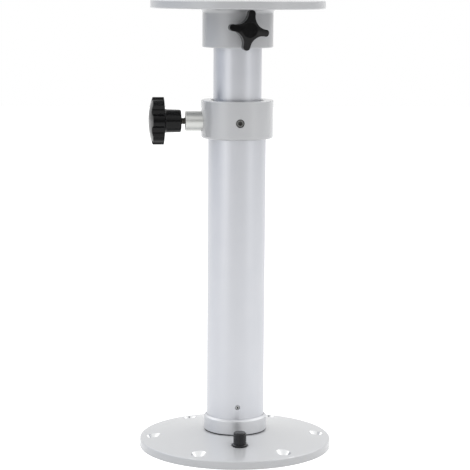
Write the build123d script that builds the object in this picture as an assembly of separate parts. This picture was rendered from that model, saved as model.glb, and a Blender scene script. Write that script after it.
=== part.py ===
from build123d import *
import os
from math import asin, cos, radians, sin, sqrt

# Removable table pedestal for a boat, in millimetres. +Z is up, and the origin is the centre of the
# base plate's underside. The foot lock's knob faces -Y and the height clamp faces -X.
# The pedestal stands as photographed, with its inner tube partly raised.

# Fits
running_gap = 0.06  # radial, between pieces that slide or turn on each other
thread_gap = 0.06  # radial, between a screw and its tapped hole
press_gap = 0.01  # radial, between pieces pressed together for good
face_gap = 0.05  # between faces that rub, clamp or stop on each other
plug_gap = 0.1  # radial, between the foot's spigot and its socket
overrun = 1.0  # how far a cutter runs past the surface that it opens

# Base plate: a cast disc with a conical top, relieved underneath
base_diameter = 235.0
rim_height = 10.0
rim_rounding = 2.0
crown_margin = 3.7  # the flat crown reaches this far past the foot's ring
crown_height = 20.0
socket_step = 5.0  # from the tube's outside in to the socket's wall
socket_floor = 4.0
socket_chamfer = 1.0
fixing_count = 6
fixing_inset = 15.5  # of the screw holes from the edge
fixing_hole = 8.5
fixing_countersink = 18.0
pocket_start = 4.0  # past the crown
pocket_margin = 5.0  # between the pockets and the screws' countersinks
pocket_roof = 6.0  # metal left above the pockets
pocket_corner = 3.0
rib_width = 7.0
lock_rib_width = 30.0

# Key pin: a dowel at the back of the socket that stops the foot turning
key_pin_diameter = 5.0
key_pin_sink = 2.0  # below the socket floor
key_pin_drop = 3.0  # below the crown
key_slot_gap = 0.3

# Foot lock: a thumb screw whose cone point drives a bar against the foot's spigot
lock_offset = 26.0  # of the screw's axis past the crown
lock_screw_diameter = 6.0
lock_point_height = 2.5  # of the screw's point above the slot's cover
lock_slot_width = 8.0
lock_slot_roof = 10.0
lock_slot_margin = 4.0  # the slot runs this far past the screw's axis
lock_slot_in_socket = 2.0
lock_bar_foot = 1.0  # length of the bar past the screw's axis
lock_bar_nose = 1.0  # bevel under its inner end
lock_cover_thickness = 1.5
lock_cover_width = 24.0
lock_cover_margin = 5.0  # past the slot at either end
cover_screw_diameter = 3.0
cover_screw_head = 5.6
cover_screw_length = 8.0
cover_screw_inset = 3.8
cover_screw_offset = 6.0  # of the inner pair past the socket's wall
lock_spotface_diameter = 20.6
lock_spotface_depth = 0.1  # at its lowest edge
lock_washer_diameter = 17.0
lock_washer_thickness = 0.8
lock_knob_diameter = 15.8
lock_knob_skirt_diameter = 18.7
lock_knob_skirt_height = 2.4
lock_knob_height = 16.6
lock_knob_skirt_chamfer = 1.0
lock_knob_chamfer = 1.4
lock_screw_in_knob = 11.0

# Foot: turned spigot, flange and ring that the column tube stands in
seal_thickness = 1.2
seal_inset = 0.5  # the seal's edge lies inside the flange's
foot_ring_wall = 3.3  # outside the tube
foot_ring_height = 18.5
foot_ring_slope = 2.4  # drop of its conical top edge
foot_ring_rounding = 0.8
foot_floor = 4.0  # under the column tube
spigot_tip_gap = 1.0
spigot_chamfer = 1.0
spigot_flat_depth = 1.0
plug_height = 41.8  # of the plug inside the tube, above the tube's end
plug_wall = 7.0
plug_bore_floor = 7.0  # metal left at the spigot's tip
plug_chamfer = 1.0
foot_screw_diameter = 5.0
foot_screw_length = 8.0
foot_screw_height = 28.8  # above the tube's end
foot_screw_recess = 0.3

# Column tube, collar and guide bush
tube_diameter = 70.0
tube_wall = 3.0
tube_length = 396.8
collar_wall = 8.6
collar_height = 46.0
collar_lip = 4.0  # over the tube's end
collar_bottom_rounding = 3.0
collar_top_rounding = 1.5
collar_mouth_chamfer = 0.8
collar_screw_diameter = 10.0
collar_screw_recess = 0.6
set_screw_angles = (-90.0, 30.0, 150.0)
bush_wall = 3.0  # the space between the two tubes
bush_length = 63.0
bush_sink = 1.0  # below the collar's top

# Height clamp: boss, screw, pad and seven-lobed knob, from the column's axis outwards along -X
clamp_rise = 20.5  # of its axis above the collar's lower end
clamp_angle = 180.0
boss_diameter = 24.2
boss_length = 19.5  # outside the collar
boss_spigot_diameter = 16.0
boss_chamfer = 0.7
boss_seat_depth = 2.1  # of the spot face in the collar's side
spotface_gap = 0.15
pad_hole = 9.2  # in the tube and the bush
clamp_screw_diameter = 8.0
pad_diameter = 7.0
pad_thickness = 3.0
pad_nose_diameter = 4.0  # the screw's nose inside the pad
pad_nose_length = 1.8
height_knob_gap = 4.6  # of bare stud between boss and knob
height_knob_diameter = 57.5
height_knob_hub_diameter = 28.3
height_knob_hub_taper = 0.4  # the hub is this much thinner at its end, on the radius
height_knob_hub_length = 19.0
height_knob_rim = 13.5
height_knob_back_slope = 1.8
height_knob_crown = 5.2
height_knob_lobes = 7
scallop_radius = 8.0
scallop_depth = 4.8
height_knob_rounding = 1.2
height_knob_turn = -35.0  # of its first lobe from upright
screw_in_height_knob = 16.0

# Inner tube and the bush on its lower end
inner_wall = 3.0
raised = 63.0  # as photographed, from the hub resting on the collar
rise_room = 155.0  # left until the end bush meets the guide bush
end_bush_length = 22.0
end_bush_in_tube = 15.0
end_bush_wall = 4.0  # inside the inner tube
end_bush_lead = 1.0  # chamfer at its lower edge

# Top: support plate with its hub, liner on the tube's end, and clamp with a four-armed knob
hub_wall = 10.6  # outside the liner
hub_height = 46.0
hub_fillet = 5.0
hub_edge = 1.2
plate_diameter = 210.0
plate_thickness = 10.0
plate_rounding = 1.5
table_screw_count = 6
table_screw_inset = 15.0  # of the screw holes from the edge
table_screw_hole = 6.5
table_screw_countersink = 12.6
liner_end = 2.0
liner_rise = 4.0  # its lower edge above the hub's
liner_slit_count = 4
liner_slit_width = 2.0
liner_slit_height = 32.0
top_turn = 7.25  # the top's swivel angle as photographed
top_clamp_angle = -90.0
top_knob_gap = 2.0
top_knob_hub_diameter = 20.0
top_knob_hub_length = 8.5
top_knob_thickness = 14.0
top_knob_reach = 23.9
top_knob_clearance = 0.5  # between an upright arm and the plate
top_knob_tip = 4.1  # radius of an arm's tip
top_knob_waist = 11.8  # nearest the outline comes to the axis
top_knob_face = 9.0  # radius of the flat in the middle of its front
top_knob_slope = 3.6  # how far the arms lean back
top_knob_rounding = 1.2
top_knob_turn = -9.3
screw_in_top_knob = 14.0

# Sizes that follow
tube_radius = tube_diameter / 2
tube_bore_radius = tube_radius - tube_wall
foot_ring_radius = tube_radius + foot_ring_wall
base_radius = base_diameter / 2
crown_radius = foot_ring_radius + crown_margin
socket_radius = tube_radius - socket_step
fixing_circle = base_diameter - 2 * fixing_inset
pocket_inner = crown_radius + pocket_start
pocket_outer = fixing_circle / 2 - fixing_countersink / 2 - pocket_margin
spigot_radius = socket_radius - plug_gap
spigot_tip = socket_floor + spigot_tip_gap
flange_bottom = crown_height + seal_thickness
tube_bottom = flange_bottom + foot_floor
foot_screw_axis = tube_bottom + foot_screw_height
tube_top = tube_bottom + tube_length
collar_top = tube_top + collar_lip
collar_bottom = collar_top - collar_height
collar_radius = tube_radius + collar_wall
clamp_height = collar_bottom + clamp_rise
boss_seat = collar_radius - boss_seat_depth
boss_reach = collar_radius + boss_length
height_knob_start = boss_reach + height_knob_gap
bush_top = collar_top - bush_sink
bush_bottom = bush_top - bush_length
inner_radius = tube_bore_radius - bush_wall
inner_bore_radius = inner_radius - inner_wall
liner_radius = tube_bore_radius
hub_radius = liner_radius + hub_wall
plate_radius = plate_diameter / 2
table_screw_circle = plate_diameter - 2 * table_screw_inset
inner_bottom = bush_bottom - rise_room - face_gap
hub_bottom = collar_top + raised
plate_bottom = hub_bottom + hub_height
inner_top = plate_bottom - face_gap - liner_end - face_gap
top_clamp_height = plate_bottom - top_knob_clearance - top_knob_reach
top_knob_start = hub_radius + top_knob_gap
height_pad_face = inner_radius + face_gap
top_pad_face = liner_radius + face_gap
lock_radius = crown_radius + lock_offset
lock_point = lock_cover_thickness + lock_point_height
lock_slot_start = socket_radius - lock_slot_in_socket
lock_slot_end = lock_radius + lock_slot_margin
lock_cover_start = lock_slot_start - lock_cover_margin
lock_cover_end = lock_slot_end + lock_cover_margin
cover_screw_start = socket_radius + cover_screw_offset
spigot_flat = spigot_radius - spigot_flat_depth


def cone_height(radius):
    """Height of the base plate's conical top at a radius."""
    share = (radius - crown_radius) / (base_radius - crown_radius)
    return crown_height + (rim_height - crown_height) * share


lock_seat = cone_height(lock_radius + lock_spotface_diameter / 2) - lock_spotface_depth
lock_knob_bottom = lock_seat + lock_washer_thickness + 2 * face_gap


def turned(corners, roundings=()):
    """Solid of revolution about Z from (radius, height) corners, some of them rounded."""
    face = make_face(Polyline(*corners, close=True))
    for corner, radius in roundings:
        vertex = face.vertices().sort_by_distance((*corner, 0))[0]
        face = fillet(vertex, radius)
    return revolve(Plane.XZ * face, Axis.Z)


def upright(radius, bottom, top, x=0.0, y=0.0):
    """Upright cylinder between two heights."""
    return Pos(x, y, bottom) * Cylinder(
        radius, top - bottom, align=(Align.CENTER, Align.CENTER, Align.MIN)
    )


def block(x_range, y_range, z_range):
    """Box between limits along each axis."""
    lows, highs = zip(x_range, y_range, z_range)
    sizes = [high - low for low, high in zip(lows, highs)]
    return Pos(*lows) * Box(*sizes, align=Align.MIN)


def outward(angle, height):
    """Place on the column's axis whose Z points outwards and whose X points up."""
    direction = (cos(radians(angle)), sin(radians(angle)), 0)
    return Location(Plane(origin=(0, 0, height), x_dir=(0, 0, 1), z_dir=direction))


def tube(radius, bore_radius, bottom, top):
    """Plain round tube."""
    return turned([(bore_radius, bottom), (radius, bottom), (radius, top), (bore_radius, top)])


def ring_of_holes(count, circle, hole, countersink, bottom, top, sink_from, sink_up):
    """Cutters for screw holes on a circle, each countersunk at 90 degrees."""
    hole_radius, sink_radius = hole / 2, countersink / 2
    side = 1 if sink_up else -1
    sink_end = sink_from - side * (sink_radius - hole_radius)
    past = sink_from + side * sink_radius
    corners = [(0, sink_end), (hole_radius, sink_end), (2 * sink_radius, past), (0, past)]
    cutter = upright(hole_radius, bottom - overrun, top + overrun) + turned(corners)
    return [loc * cutter for loc in PolarLocations(circle / 2, count)]


def set_screw(diameter, length, inner_end):
    """Socket set screw along Z, its point towards the axis."""
    radius = diameter / 2 - thread_gap
    point = 0.3 * radius
    edge = 0.1 * radius
    outer_end = inner_end + length
    body = turned(
        [
            (0, inner_end),
            (radius - point, inner_end),
            (radius, inner_end + point),
            (radius, outer_end - edge),
            (radius - edge, outer_end),
            (0, outer_end),
        ]
    )
    key_depth = 0.5 * length
    key = extrude(RegularPolygon(0.55 * radius, 6), key_depth)
    return body - Pos(0, 0, outer_end - key_depth) * key


def base_plate():
    """Cast disc: conical top, socket, screw holes, ribbed underside and the lock's slot."""
    plate = turned(
        [
            (0, 0),
            (base_radius, 0),
            (base_radius, rim_height),
            (crown_radius, crown_height),
            (socket_radius + socket_chamfer, crown_height),
            (socket_radius, crown_height - socket_chamfer),
            (socket_radius, socket_floor),
            (0, socket_floor),
        ],
        [((base_radius, rim_height), rim_rounding)],
    )
    hole_height = cone_height(fixing_circle / 2)
    plate -= ring_of_holes(
        fixing_count, fixing_circle, fixing_hole, fixing_countersink,
        0, crown_height, hole_height, True,
    )
    plate -= underside_pockets()
    pin_hole = key_pin_diameter / 2 + press_gap
    pin_bottom = socket_floor - key_pin_sink
    plate -= upright(pin_hole, pin_bottom, crown_height + overrun, 0, socket_radius)
    plate -= lock_cutters()
    return plate


def underside_pockets():
    """Pockets between radial ribs; the rib at the front is wide enough for the foot lock."""
    ring = turned(
        [
            (pocket_inner, -overrun),
            (pocket_outer, -overrun),
            (pocket_outer, cone_height(pocket_outer) - pocket_roof),
            (pocket_inner, cone_height(pocket_inner) - pocket_roof),
        ]
    )
    for step in range(fixing_count):
        angle = -90 + 360 / fixing_count * step
        width = lock_rib_width if step == 0 else rib_width
        rib = block((0, base_radius), (-width / 2, width / 2), (-2 * overrun, crown_height))
        ring -= Rot(0, 0, angle) * rib
    return fillet(ring.edges().filter_by(Axis.Z), pocket_corner)


def lock_cutters():
    """Slot for the bar, recess for its cover, tapped hole and spot face for the thumb screw."""
    half = lock_slot_width / 2
    slot = block((-half, half), (-lock_slot_end, -lock_slot_start), (-overrun, lock_slot_roof))
    half = lock_cover_width / 2 + face_gap
    start, end = lock_cover_start - face_gap, lock_cover_end + face_gap
    recess = block((-half, half), (-end, -start), (-overrun, lock_cover_thickness))
    tapped = upright(
        lock_screw_diameter / 2 + thread_gap, lock_slot_roof - overrun, crown_height, 0, -lock_radius
    )
    spotface = upright(lock_spotface_diameter / 2, lock_seat, crown_height + overrun, 0, -lock_radius)
    cutters = slot + recess + tapped + spotface
    for place in cover_screw_places():
        cutters += place * upright(cover_screw_diameter / 2, -overrun, cover_screw_length + overrun)
    return cutters


def cover_screw_places():
    """Two pairs of screws beside the bar, clear of the socket."""
    x = lock_cover_width / 2 - cover_screw_inset
    far = lock_cover_end - cover_screw_inset
    return [Pos(side * x, -y, 0) for side in (-1, 1) for y in (cover_screw_start, far)]


def cover_screw(gap=0.0):
    """Countersunk screw of the lock's cover, head down; with a gap it is the cutter for the cover."""
    shank, head = cover_screw_diameter / 2, cover_screw_head / 2
    body = turned(
        [
            (0, 0),
            (head + gap, 0),
            (shank - thread_gap + gap, head - shank + thread_gap),
            (shank - thread_gap + gap, cover_screw_length),
            (0, cover_screw_length),
        ]
    )
    return body if gap else body - extrude(RegularPolygon(0.5 * head, 6), 0.5 * head)


def lock_cover():
    """Cover that closes the bar's slot from below, flush with the underside."""
    half = lock_cover_width / 2
    sheet = block(
        (-half, half), (-lock_cover_end, -lock_cover_start), (0, lock_cover_thickness - face_gap)
    )
    for place in cover_screw_places():
        sheet -= place * cover_screw(gap=face_gap)
    return sheet


def lock_cover_screws():
    """The cover's four screws."""
    return Compound(children=[place * cover_screw() for place in cover_screw_places()])


def lock_bar():
    """Sliding bar: its bevelled end follows the screw's point, its other end bears on the spigot."""
    bottom, top = lock_cover_thickness + face_gap, lock_slot_roof - face_gap
    tip = spigot_flat + face_gap
    end = lock_radius + lock_bar_foot
    bevel_start = lock_point - lock_bar_foot - face_gap
    bevel_end = lock_radius - (top - lock_point) - face_gap
    outline = Polyline(
        (tip, spigot_tip),
        (tip + lock_bar_nose, bottom),
        (end, bottom),
        (end, bevel_start),
        (bevel_end, top),
        (tip, top),
        close=True,
    )
    side = Plane(origin=(0, 0, 0), x_dir=(0, -1, 0), z_dir=(-1, 0, 0))
    half = lock_slot_width / 2 - running_gap
    return extrude(side * make_face(outline), half, both=True)


def lock_washer():
    """Nylon washer under the thumb screw's knob."""
    bottom = lock_seat + face_gap
    inner = lock_screw_diameter / 2 + running_gap
    washer = tube(lock_washer_diameter / 2, inner, bottom, bottom + lock_washer_thickness)
    return Pos(0, -lock_radius, 0) * washer


def lock_screw():
    """Thumb screw's threaded stud with its cone point."""
    radius = lock_screw_diameter / 2
    top = lock_knob_bottom + lock_screw_in_knob
    stud = turned([(0, lock_point), (radius, lock_point + radius), (radius, top), (0, top)])
    return Pos(0, -lock_radius, 0) * stud


def lock_knob():
    """Cylindrical knob with a skirt, moulded on the thumb screw."""
    bottom = lock_knob_bottom
    top = bottom + lock_knob_height
    radius, skirt = lock_knob_diameter / 2, lock_knob_skirt_diameter / 2
    hole = lock_screw_diameter / 2 + press_gap
    skirt_top = bottom + lock_knob_skirt_height
    knob = turned(
        [
            (hole, bottom),
            (skirt, bottom),
            (skirt, skirt_top - lock_knob_skirt_chamfer),
            (radius, skirt_top),
            (radius, top - lock_knob_chamfer),
            (radius - lock_knob_chamfer, top),
            (0, top),
            (0, bottom + lock_screw_in_knob),
            (hole, bottom + lock_screw_in_knob),
        ]
    )
    return Pos(0, -lock_radius, 0) * knob


def key_pin():
    """Dowel half in the socket's wall and half in the spigot's slot."""
    bottom = socket_floor - key_pin_sink
    return upright(key_pin_diameter / 2, bottom, crown_height - key_pin_drop, 0, socket_radius)


def foot_seal():
    """Rubber washer between the foot's flange and the crown."""
    inner = spigot_radius + plug_gap + socket_chamfer
    return tube(foot_ring_radius - seal_inset, inner, crown_height, flange_bottom)


def foot():
    """Turned foot: keyed spigot, flange, ring round the tube and plug inside it."""
    ring_top = flange_bottom + foot_ring_height
    tip = spigot_tip
    plug = tube_bore_radius - press_gap
    bore_floor = tip + plug_bore_floor
    plug_top = tube_bottom + plug_height
    plug_bore_radius = tube_bore_radius - plug_wall
    groove = tube_radius + press_gap
    shoulder = (foot_ring_radius, ring_top - foot_ring_slope)
    body = turned(
        [
            (0, tip),
            (spigot_radius - spigot_chamfer, tip),
            (spigot_radius, tip + spigot_chamfer),
            (spigot_radius, flange_bottom),
            (foot_ring_radius, flange_bottom),
            shoulder,
            (groove, ring_top),
            (groove, tube_bottom),
            (plug, tube_bottom),
            (plug, plug_top - plug_chamfer),
            (plug - plug_chamfer, plug_top),
            (plug_bore_radius, plug_top),
            (plug_bore_radius, bore_floor),
            (0, bore_floor),
        ],
        [(shoulder, foot_ring_rounding)],
    )
    body -= upright(key_pin_diameter / 2 + key_slot_gap, 0, flange_bottom, 0, socket_radius)
    far = 2 * spigot_radius
    body -= block((-far, far), (-far, -spigot_flat), (0, flange_bottom))
    for angle in set_screw_angles:
        body -= outward(angle, foot_screw_axis) * upright(foot_screw_diameter / 2, 0, tube_radius)
    return body


def foot_screws():
    """Set screws through the tube into the foot's plug."""
    inner_end = tube_radius - foot_screw_recess - foot_screw_length
    screw = set_screw(foot_screw_diameter, foot_screw_length, inner_end)
    return Compound(children=[outward(a, foot_screw_axis) * screw for a in set_screw_angles])


def column_tube():
    """Outer tube with its holes for the foot's screws and the clamp's pad."""
    body = tube(tube_radius, tube_bore_radius, tube_bottom, tube_top)
    for angle in set_screw_angles:
        body -= outward(angle, foot_screw_axis) * upright(foot_screw_diameter / 2, 0, tube_diameter)
    return body - outward(clamp_angle, clamp_height) * upright(pad_hole / 2, 0, tube_diameter)


def collar():
    """Collar round the tube's top: a lip over its end, three set screws and the boss's seat."""
    bore = tube_radius + press_gap
    mouth = tube_bore_radius
    body = turned(
        [
            (bore, collar_bottom),
            (collar_radius, collar_bottom),
            (collar_radius, collar_top),
            (mouth + collar_mouth_chamfer, collar_top),
            (mouth, collar_top - collar_mouth_chamfer),
            (mouth, tube_top),
            (bore, tube_top),
        ],
        [
            ((collar_radius, collar_bottom), collar_bottom_rounding),
            ((collar_radius, collar_top), collar_top_rounding),
        ],
    )
    for angle in set_screw_angles:
        body -= outward(angle, clamp_height) * upright(collar_screw_diameter / 2, 0, 2 * collar_radius)
    seat = upright(boss_diameter / 2 + spotface_gap, boss_seat, 2 * collar_radius)
    hole = upright(boss_spigot_diameter / 2 + press_gap, 0, 2 * collar_radius)
    return body - outward(clamp_angle, clamp_height) * (seat + hole)


def collar_screws():
    """Set screws that hold the collar on the tube."""
    outer_end = collar_radius - collar_screw_recess
    inner_end = tube_radius
    screw = set_screw(collar_screw_diameter, outer_end - inner_end, inner_end)
    return Compound(children=[outward(a, clamp_height) * screw for a in set_screw_angles])


def guide_bush():
    """Plastic sleeve in the tube's top that the inner tube slides in."""
    sleeve = tube(
        tube_bore_radius - press_gap, inner_radius + running_gap, bush_bottom, bush_top
    )
    return sleeve - outward(clamp_angle, clamp_height) * upright(pad_hole / 2, 0, tube_diameter)


def clamp_boss():
    """Turned threaded boss in the collar's side."""
    bore = clamp_screw_diameter / 2 + thread_gap
    boss, spigot = boss_diameter / 2, boss_spigot_diameter / 2
    body = turned(
        [
            (bore, tube_radius + face_gap),
            (spigot, tube_radius + face_gap),
            (spigot, boss_seat),
            (boss, boss_seat),
            (boss, boss_reach - boss_chamfer),
            (boss - boss_chamfer, boss_reach),
            (bore + boss_chamfer, boss_reach),
            (bore, boss_reach - boss_chamfer),
        ]
    )
    return outward(clamp_angle, clamp_height) * body


def pressure_pad(face):
    """Brass pad, face towards the axis, with a blind hole for the screw's nose."""
    back = face + pad_thickness
    hole = pad_nose_diameter / 2 + running_gap
    floor = back - pad_nose_length - face_gap
    side = pad_diameter / 2
    return turned([(0, face), (side, face), (side, back), (hole, back), (hole, floor), (0, floor)])


def clamp_screw(pad_face, knob_start, in_knob):
    """Clamp stud from the pad's hole to inside its knob."""
    radius, nose = clamp_screw_diameter / 2, pad_nose_diameter / 2
    shoulder = pad_face + pad_thickness + face_gap
    end = knob_start + in_knob
    return turned(
        [
            (0, shoulder - pad_nose_length),
            (nose, shoulder - pad_nose_length),
            (nose, shoulder),
            (radius, shoulder),
            (radius, end),
            (0, end),
        ]
    )


def stud_hole(start, depth):
    """Cutter for the stud moulded into a knob."""
    return upright(clamp_screw_diameter / 2 + press_gap, start - overrun, start + depth + face_gap)


def height_knob():
    """Seven-lobed knob: long hub, lobed rim and domed face, cut with a scallop over the turning's seam."""
    hub, rim = height_knob_hub_diameter / 2, height_knob_diameter / 2
    back = height_knob_start + height_knob_hub_length
    rim_back = back + height_knob_back_slope
    rim_front = rim_back + height_knob_rim
    apex = rim_front + height_knob_crown
    hub_end = (hub - height_knob_hub_taper, height_knob_start)
    side = Polyline(
        (0, height_knob_start), hub_end, (hub, back), (rim, rim_back), (rim, rim_front)
    )
    dome_radius = (rim**2 + height_knob_crown**2) / (2 * height_knob_crown)
    half_arc = asin(rim / dome_radius) / 2
    on_dome = (dome_radius * sin(half_arc), apex - dome_radius * (1 - cos(half_arc)))
    dome = ThreePointArc((rim, rim_front), on_dome, (0, apex))
    face = make_face([*side.edges(), dome, Line((0, apex), (0, height_knob_start))])
    face = fillet(face.vertices().sort_by_distance((*hub_end, 0))[0], height_knob_rounding)
    body = revolve(Plane.XZ * face, Axis.Z)
    reach = rim - scallop_depth + scallop_radius
    scallop = upright(scallop_radius, back - overrun, apex + overrun, reach, 0)
    body -= [place * scallop for place in PolarLocations(0, height_knob_lobes)]
    corners = body.edges().filter_by(Axis.Z).filter_by(lambda e: e.center().Z > rim_back)
    body = fillet(corners, height_knob_rounding)
    front = body.faces().filter_by(GeomType.SPHERE).sort_by(Axis.Z)[-1].edges()
    body = fillet(front, height_knob_rounding / 2)
    body = Rot(0, 0, height_knob_turn + 180 / height_knob_lobes) * body
    return body - stud_hole(height_knob_start, screw_in_height_knob)


def star_outline(reach, tip, waist):
    """Face with four arms: round tips joined by hollow arcs that touch them."""
    arm = reach - tip
    slim = waist - tip
    hollow_centre = (arm**2 - slim**2) / (sqrt(2) * arm - 2 * slim)
    hollow = hollow_centre - waist
    diagonal = hollow_centre / sqrt(2)
    touch_x = arm + tip * (diagonal - arm) / (hollow + tip)
    touch_y = tip * diagonal / (hollow + tip)
    waist_point = waist / sqrt(2)
    edges = []
    for step in range(4):
        turn = Rot(0, 0, 90 * step)
        round_tip = ThreePointArc((touch_x, -touch_y), (reach, 0), (touch_x, touch_y))
        side = ThreePointArc((touch_x, touch_y), (waist_point, waist_point), (touch_y, touch_x))
        edges += [turn * round_tip, turn * side]
    return make_face(edges)


def top_knob():
    """Four-armed knob whose arms lean back from a flat middle."""
    back = top_knob_start + top_knob_hub_length
    front = back + top_knob_thickness
    past = 1.2 * top_knob_reach
    lean = top_knob_slope / (top_knob_reach - top_knob_face)
    outline = star_outline(top_knob_reach, top_knob_tip, top_knob_waist)
    star = extrude(Pos(0, 0, back) * outline, top_knob_thickness)
    crown = turned(
        [
            (0, back - overrun),
            (past, back - overrun),
            (past, front - lean * (past - top_knob_face)),
            (top_knob_face, front),
            (0, front),
        ]
    )
    star = star & crown
    cone = star.faces().filter_by(GeomType.CONE).sort_by(Axis.Z)[-1]
    middle = cone.edges().filter_by(lambda e: e.center().Z > front - top_knob_rounding / 10)
    star = fillet(cone.edges() - middle, top_knob_rounding)
    hub = upright(top_knob_hub_diameter / 2, top_knob_start, back)
    knob = Rot(0, 0, top_knob_turn) * (star + hub)
    return knob - stud_hole(top_knob_start, screw_in_top_knob)


def inner_tube():
    """Sliding tube."""
    return tube(inner_radius, inner_bore_radius, inner_bottom, inner_top)


def end_bush():
    """Moulded bush in the inner tube's lower end, which guides it in the column and stops its rise."""
    top = inner_bottom
    bottom = top - end_bush_length
    guide, bore = tube_bore_radius - running_gap, inner_bore_radius - end_bush_wall
    inside = inner_bore_radius - press_gap
    return turned(
        [
            (bore, bottom),
            (guide - end_bush_lead, bottom),
            (guide, bottom + end_bush_lead),
            (guide, top),
            (inside, top),
            (inside, top + end_bush_in_tube),
            (bore, top + end_bush_in_tube),
        ]
    )


def top_liner():
    """Plastic cap on the inner tube's end, slit so that the clamp can squeeze it."""
    outer, inner = liner_radius, inner_radius + running_gap
    bottom, top = hub_bottom + liner_rise, plate_bottom - face_gap
    under_end = top - liner_end
    body = turned(
        [(inner, bottom), (outer, bottom), (outer, top), (0, top), (0, under_end), (inner, under_end)]
    )
    half = liner_slit_width / 2
    slit = block((0, 2 * outer), (-half, half), (bottom - overrun, bottom + liner_slit_height))
    for step in range(liner_slit_count):
        turn = top_turn + 45 + 360 / liner_slit_count * step
        body -= Rot(0, 0, turn) * slit
    return body


def top_support():
    """Cast table plate and hub in one piece, with a blind socket for the lined tube."""
    socket = liner_radius + running_gap
    plate_top = plate_bottom + plate_thickness
    body = turned(
        [
            (socket, hub_bottom),
            (hub_radius, hub_bottom),
            (hub_radius, plate_bottom),
            (plate_radius, plate_bottom),
            (plate_radius, plate_top),
            (0, plate_top),
            (0, plate_bottom),
            (socket, plate_bottom),
        ],
        [
            ((hub_radius, hub_bottom), hub_edge),
            ((hub_radius, plate_bottom), hub_fillet),
            ((plate_radius, plate_bottom), plate_rounding),
            ((plate_radius, plate_top), plate_rounding),
        ],
    )
    body -= ring_of_holes(
        table_screw_count, table_screw_circle, table_screw_hole, table_screw_countersink,
        plate_bottom, plate_top, plate_bottom, False,
    )
    tapped = upright(clamp_screw_diameter / 2 + thread_gap, 0, 2 * hub_radius)
    return body - outward(top_clamp_angle, top_clamp_height) * tapped


def height_clamp_nodes():
    """The height clamp's moving pieces, outwards along -X."""
    place = outward(clamp_angle, clamp_height)
    return {
        "height_clamp_pad": place * pressure_pad(height_pad_face),
        "height_clamp_screw": place * clamp_screw(height_pad_face, height_knob_start, screw_in_height_knob),
        "height_clamp_knob": place * height_knob(),
    }


def top_nodes():
    """The support and its clamp, at the swivel angle of the photograph."""
    turn = Rot(0, 0, top_turn)
    place = turn * outward(top_clamp_angle, top_clamp_height)
    return {
        "top_support": turn * top_support(),
        "top_clamp_pad": place * pressure_pad(top_pad_face),
        "top_clamp_screw": place * clamp_screw(top_pad_face, top_knob_start, screw_in_top_knob),
        "top_clamp_knob": place * top_knob(),
    }


nodes = {
    "base_plate": base_plate(),
    "key_pin": key_pin(),
    "lock_bar": lock_bar(),
    "lock_cover": lock_cover(),
    "lock_cover_screws": lock_cover_screws(),
    "lock_washer": lock_washer(),
    "lock_screw": lock_screw(),
    "lock_knob": lock_knob(),
    "foot_seal": foot_seal(),
    "foot": foot(),
    "foot_set_screws": foot_screws(),
    "column_tube": column_tube(),
    "collar": collar(),
    "collar_set_screws": collar_screws(),
    "guide_bush": guide_bush(),
    "clamp_boss": clamp_boss(),
    **height_clamp_nodes(),
    "inner_tube": inner_tube(),
    "end_bush": end_bush(),
    "top_liner": top_liner(),
    **top_nodes(),
}

os.makedirs("parts", exist_ok=True)
for name, shape in nodes.items():
    export_step(shape, f"parts/{name}.step")
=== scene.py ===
# %% [markdown]
# # A removable table pedestal
#
# This lesson dresses a boat's table pedestal for a product picture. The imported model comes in
# as a fixed frame: it says where each piece is and which body it moves with. Every piece that
# shows is then made again with a finer mesh and gets the finish of the real one.

# %% Load the frame
from math import acos, asin, atan2, cos, degrees, pi, radians, sin, sqrt, tan

import bmesh
import bpy
from mathutils import Matrix, Vector


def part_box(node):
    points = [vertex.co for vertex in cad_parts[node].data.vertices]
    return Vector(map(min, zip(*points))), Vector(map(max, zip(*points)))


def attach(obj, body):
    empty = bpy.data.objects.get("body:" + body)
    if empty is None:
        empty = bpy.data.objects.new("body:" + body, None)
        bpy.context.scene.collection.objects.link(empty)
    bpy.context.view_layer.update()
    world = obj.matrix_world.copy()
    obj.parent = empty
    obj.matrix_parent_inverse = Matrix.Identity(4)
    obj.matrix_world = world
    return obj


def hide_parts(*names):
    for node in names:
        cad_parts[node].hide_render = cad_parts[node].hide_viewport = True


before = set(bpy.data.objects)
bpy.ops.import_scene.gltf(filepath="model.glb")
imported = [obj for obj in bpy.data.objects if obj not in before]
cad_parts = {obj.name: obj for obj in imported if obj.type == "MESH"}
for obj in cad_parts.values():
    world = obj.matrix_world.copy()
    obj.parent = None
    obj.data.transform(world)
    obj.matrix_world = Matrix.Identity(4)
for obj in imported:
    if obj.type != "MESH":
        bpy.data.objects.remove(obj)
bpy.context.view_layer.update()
mm = 0.001
scene = bpy.context.scene

# %% [markdown]
# ## The camera
#
# The photograph was taken from about the height of the top plate with a long lens, a little over
# two metres away. The pedestal stands turned by five degrees to the camera, and the camera leans
# by less than half a degree. These values come from fitting the rims of the plates and the
# edges of the tubes.

# %% Camera
image_width = 470
focal_pixels = 1711.1
camera_distance = 2063.2 * mm
camera_height = 559.75 * mm
camera_turn = radians(-5.0)
camera_pan = 0.0008
camera_pitch = 0.1436
camera_roll = 0.0072

camera_data = bpy.data.cameras.new("camera")
camera_data.sensor_width = 36
camera_data.lens = focal_pixels * camera_data.sensor_width / image_width
camera_data.clip_end = 50
camera = bpy.data.objects.new("camera", camera_data)
scene.collection.objects.link(camera)
camera.matrix_world = (
    Matrix.Rotation(camera_turn, 4, "Z")
    @ Matrix.Translation((0, -camera_distance, camera_height))
    @ Matrix.Rotation(camera_pan, 4, "Z")
    @ Matrix.Rotation(pi / 2 - camera_pitch, 4, "X")
    @ Matrix.Rotation(camera_roll, 4, "Z")
)
scene.camera = camera
print(f"lens {camera_data.lens:.1f} mm at {camera_distance:.2f} m")

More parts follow.
